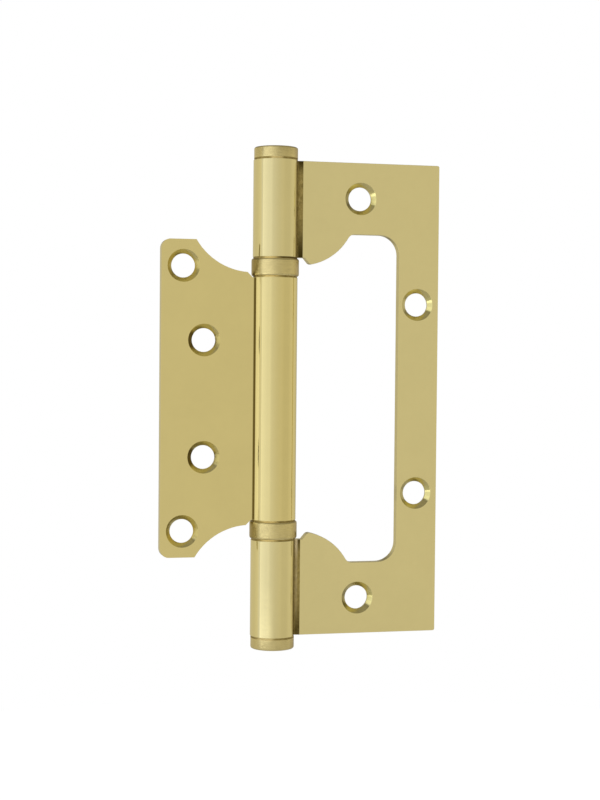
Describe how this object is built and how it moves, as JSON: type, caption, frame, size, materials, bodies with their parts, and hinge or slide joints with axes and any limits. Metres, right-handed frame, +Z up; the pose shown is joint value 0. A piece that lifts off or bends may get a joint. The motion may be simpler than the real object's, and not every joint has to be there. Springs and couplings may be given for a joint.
{
  "type": "flush hinge",
  "caption": "Butterfly hinge laid open flat: a small leaf that folds into the window of a larger leaf, with countersunk holes and a ball-bearing barrel between two end caps.",
  "frame": {"origin": "on the back face of the outer leaf, midway between the two screw holes beside the window", "axes": "+Z up along the barrel, +Y out of the back faces that lie against the door and its frame, +X from the inner leaf to the outer leaf"},
  "size_m": [0.075, 0.0125, 0.1316],
  "materials": {
    "polished_brass_plate": "polished brass plate on steel sheet",
    "satin_brass_plate": "satin brass plate on steel",
    "bearing_steel": "bare ground steel"
  },
  "bodies": {
    "outer": {"outer_leaf": "polished_brass_plate", "hinge_pin": "bearing_steel", "top_cap": "satin_brass_plate", "bottom_cap": "satin_brass_plate", "upper_bearing_shell": "satin_brass_plate", "upper_bearing_fixed_race": "bearing_steel", "lower_bearing_shell": "satin_brass_plate", "lower_bearing_fixed_race": "bearing_steel"},
    "inner": {"inner_leaf": "polished_brass_plate", "upper_bearing_turning_race": "bearing_steel", "lower_bearing_turning_race": "bearing_steel"},
    "upper_balls": {"upper_bearing_ball_1": "bearing_steel", "upper_bearing_ball_2": "bearing_steel", "upper_bearing_ball_3": "bearing_steel", "upper_bearing_ball_4": "bearing_steel", "upper_bearing_ball_5": "bearing_steel", "upper_bearing_ball_6": "bearing_steel", "upper_bearing_ball_7": "bearing_steel", "upper_bearing_ball_8": "bearing_steel", "upper_bearing_ball_9": "bearing_steel", "upper_bearing_ball_10": "bearing_steel", "upper_bearing_ball_11": "bearing_steel", "upper_bearing_ball_12": "bearing_steel"},
    "lower_balls": {"lower_bearing_ball_1": "bearing_steel", "lower_bearing_ball_2": "bearing_steel", "lower_bearing_ball_3": "bearing_steel", "lower_bearing_ball_4": "bearing_steel", "lower_bearing_ball_5": "bearing_steel", "lower_bearing_ball_6": "bearing_steel", "lower_bearing_ball_7": "bearing_steel", "lower_bearing_ball_8": "bearing_steel", "lower_bearing_ball_9": "bearing_steel", "lower_bearing_ball_10": "bearing_steel", "lower_bearing_ball_11": "bearing_steel", "lower_bearing_ball_12": "bearing_steel"}
  },
  "joints": [
    {"name": "leaf_swing", "type": "hinge", "parent": "outer", "child": "inner", "pos_m": [-0.03885, -0.00125, 0], "axis": [0, 0, 1], "range_deg": [-180, 180]},
    {"name": "upper_ball_orbit", "type": "hinge", "parent": "outer", "child": "upper_balls", "pos_m": [-0.03885, -0.00125, 0], "axis": [0, 0, 1], "range_deg": [-90, 90]},
    {"name": "lower_ball_orbit", "type": "hinge", "parent": "outer", "child": "lower_balls", "pos_m": [-0.03885, -0.00125, 0], "axis": [0, 0, 1], "range_deg": [-90, 90]}
  ],
  "couplings": [
    {"joint": "upper_ball_orbit", "follows": "leaf_swing", "ratio": 0.5},
    {"joint": "lower_ball_orbit", "follows": "leaf_swing", "ratio": 0.5}
  ]
}
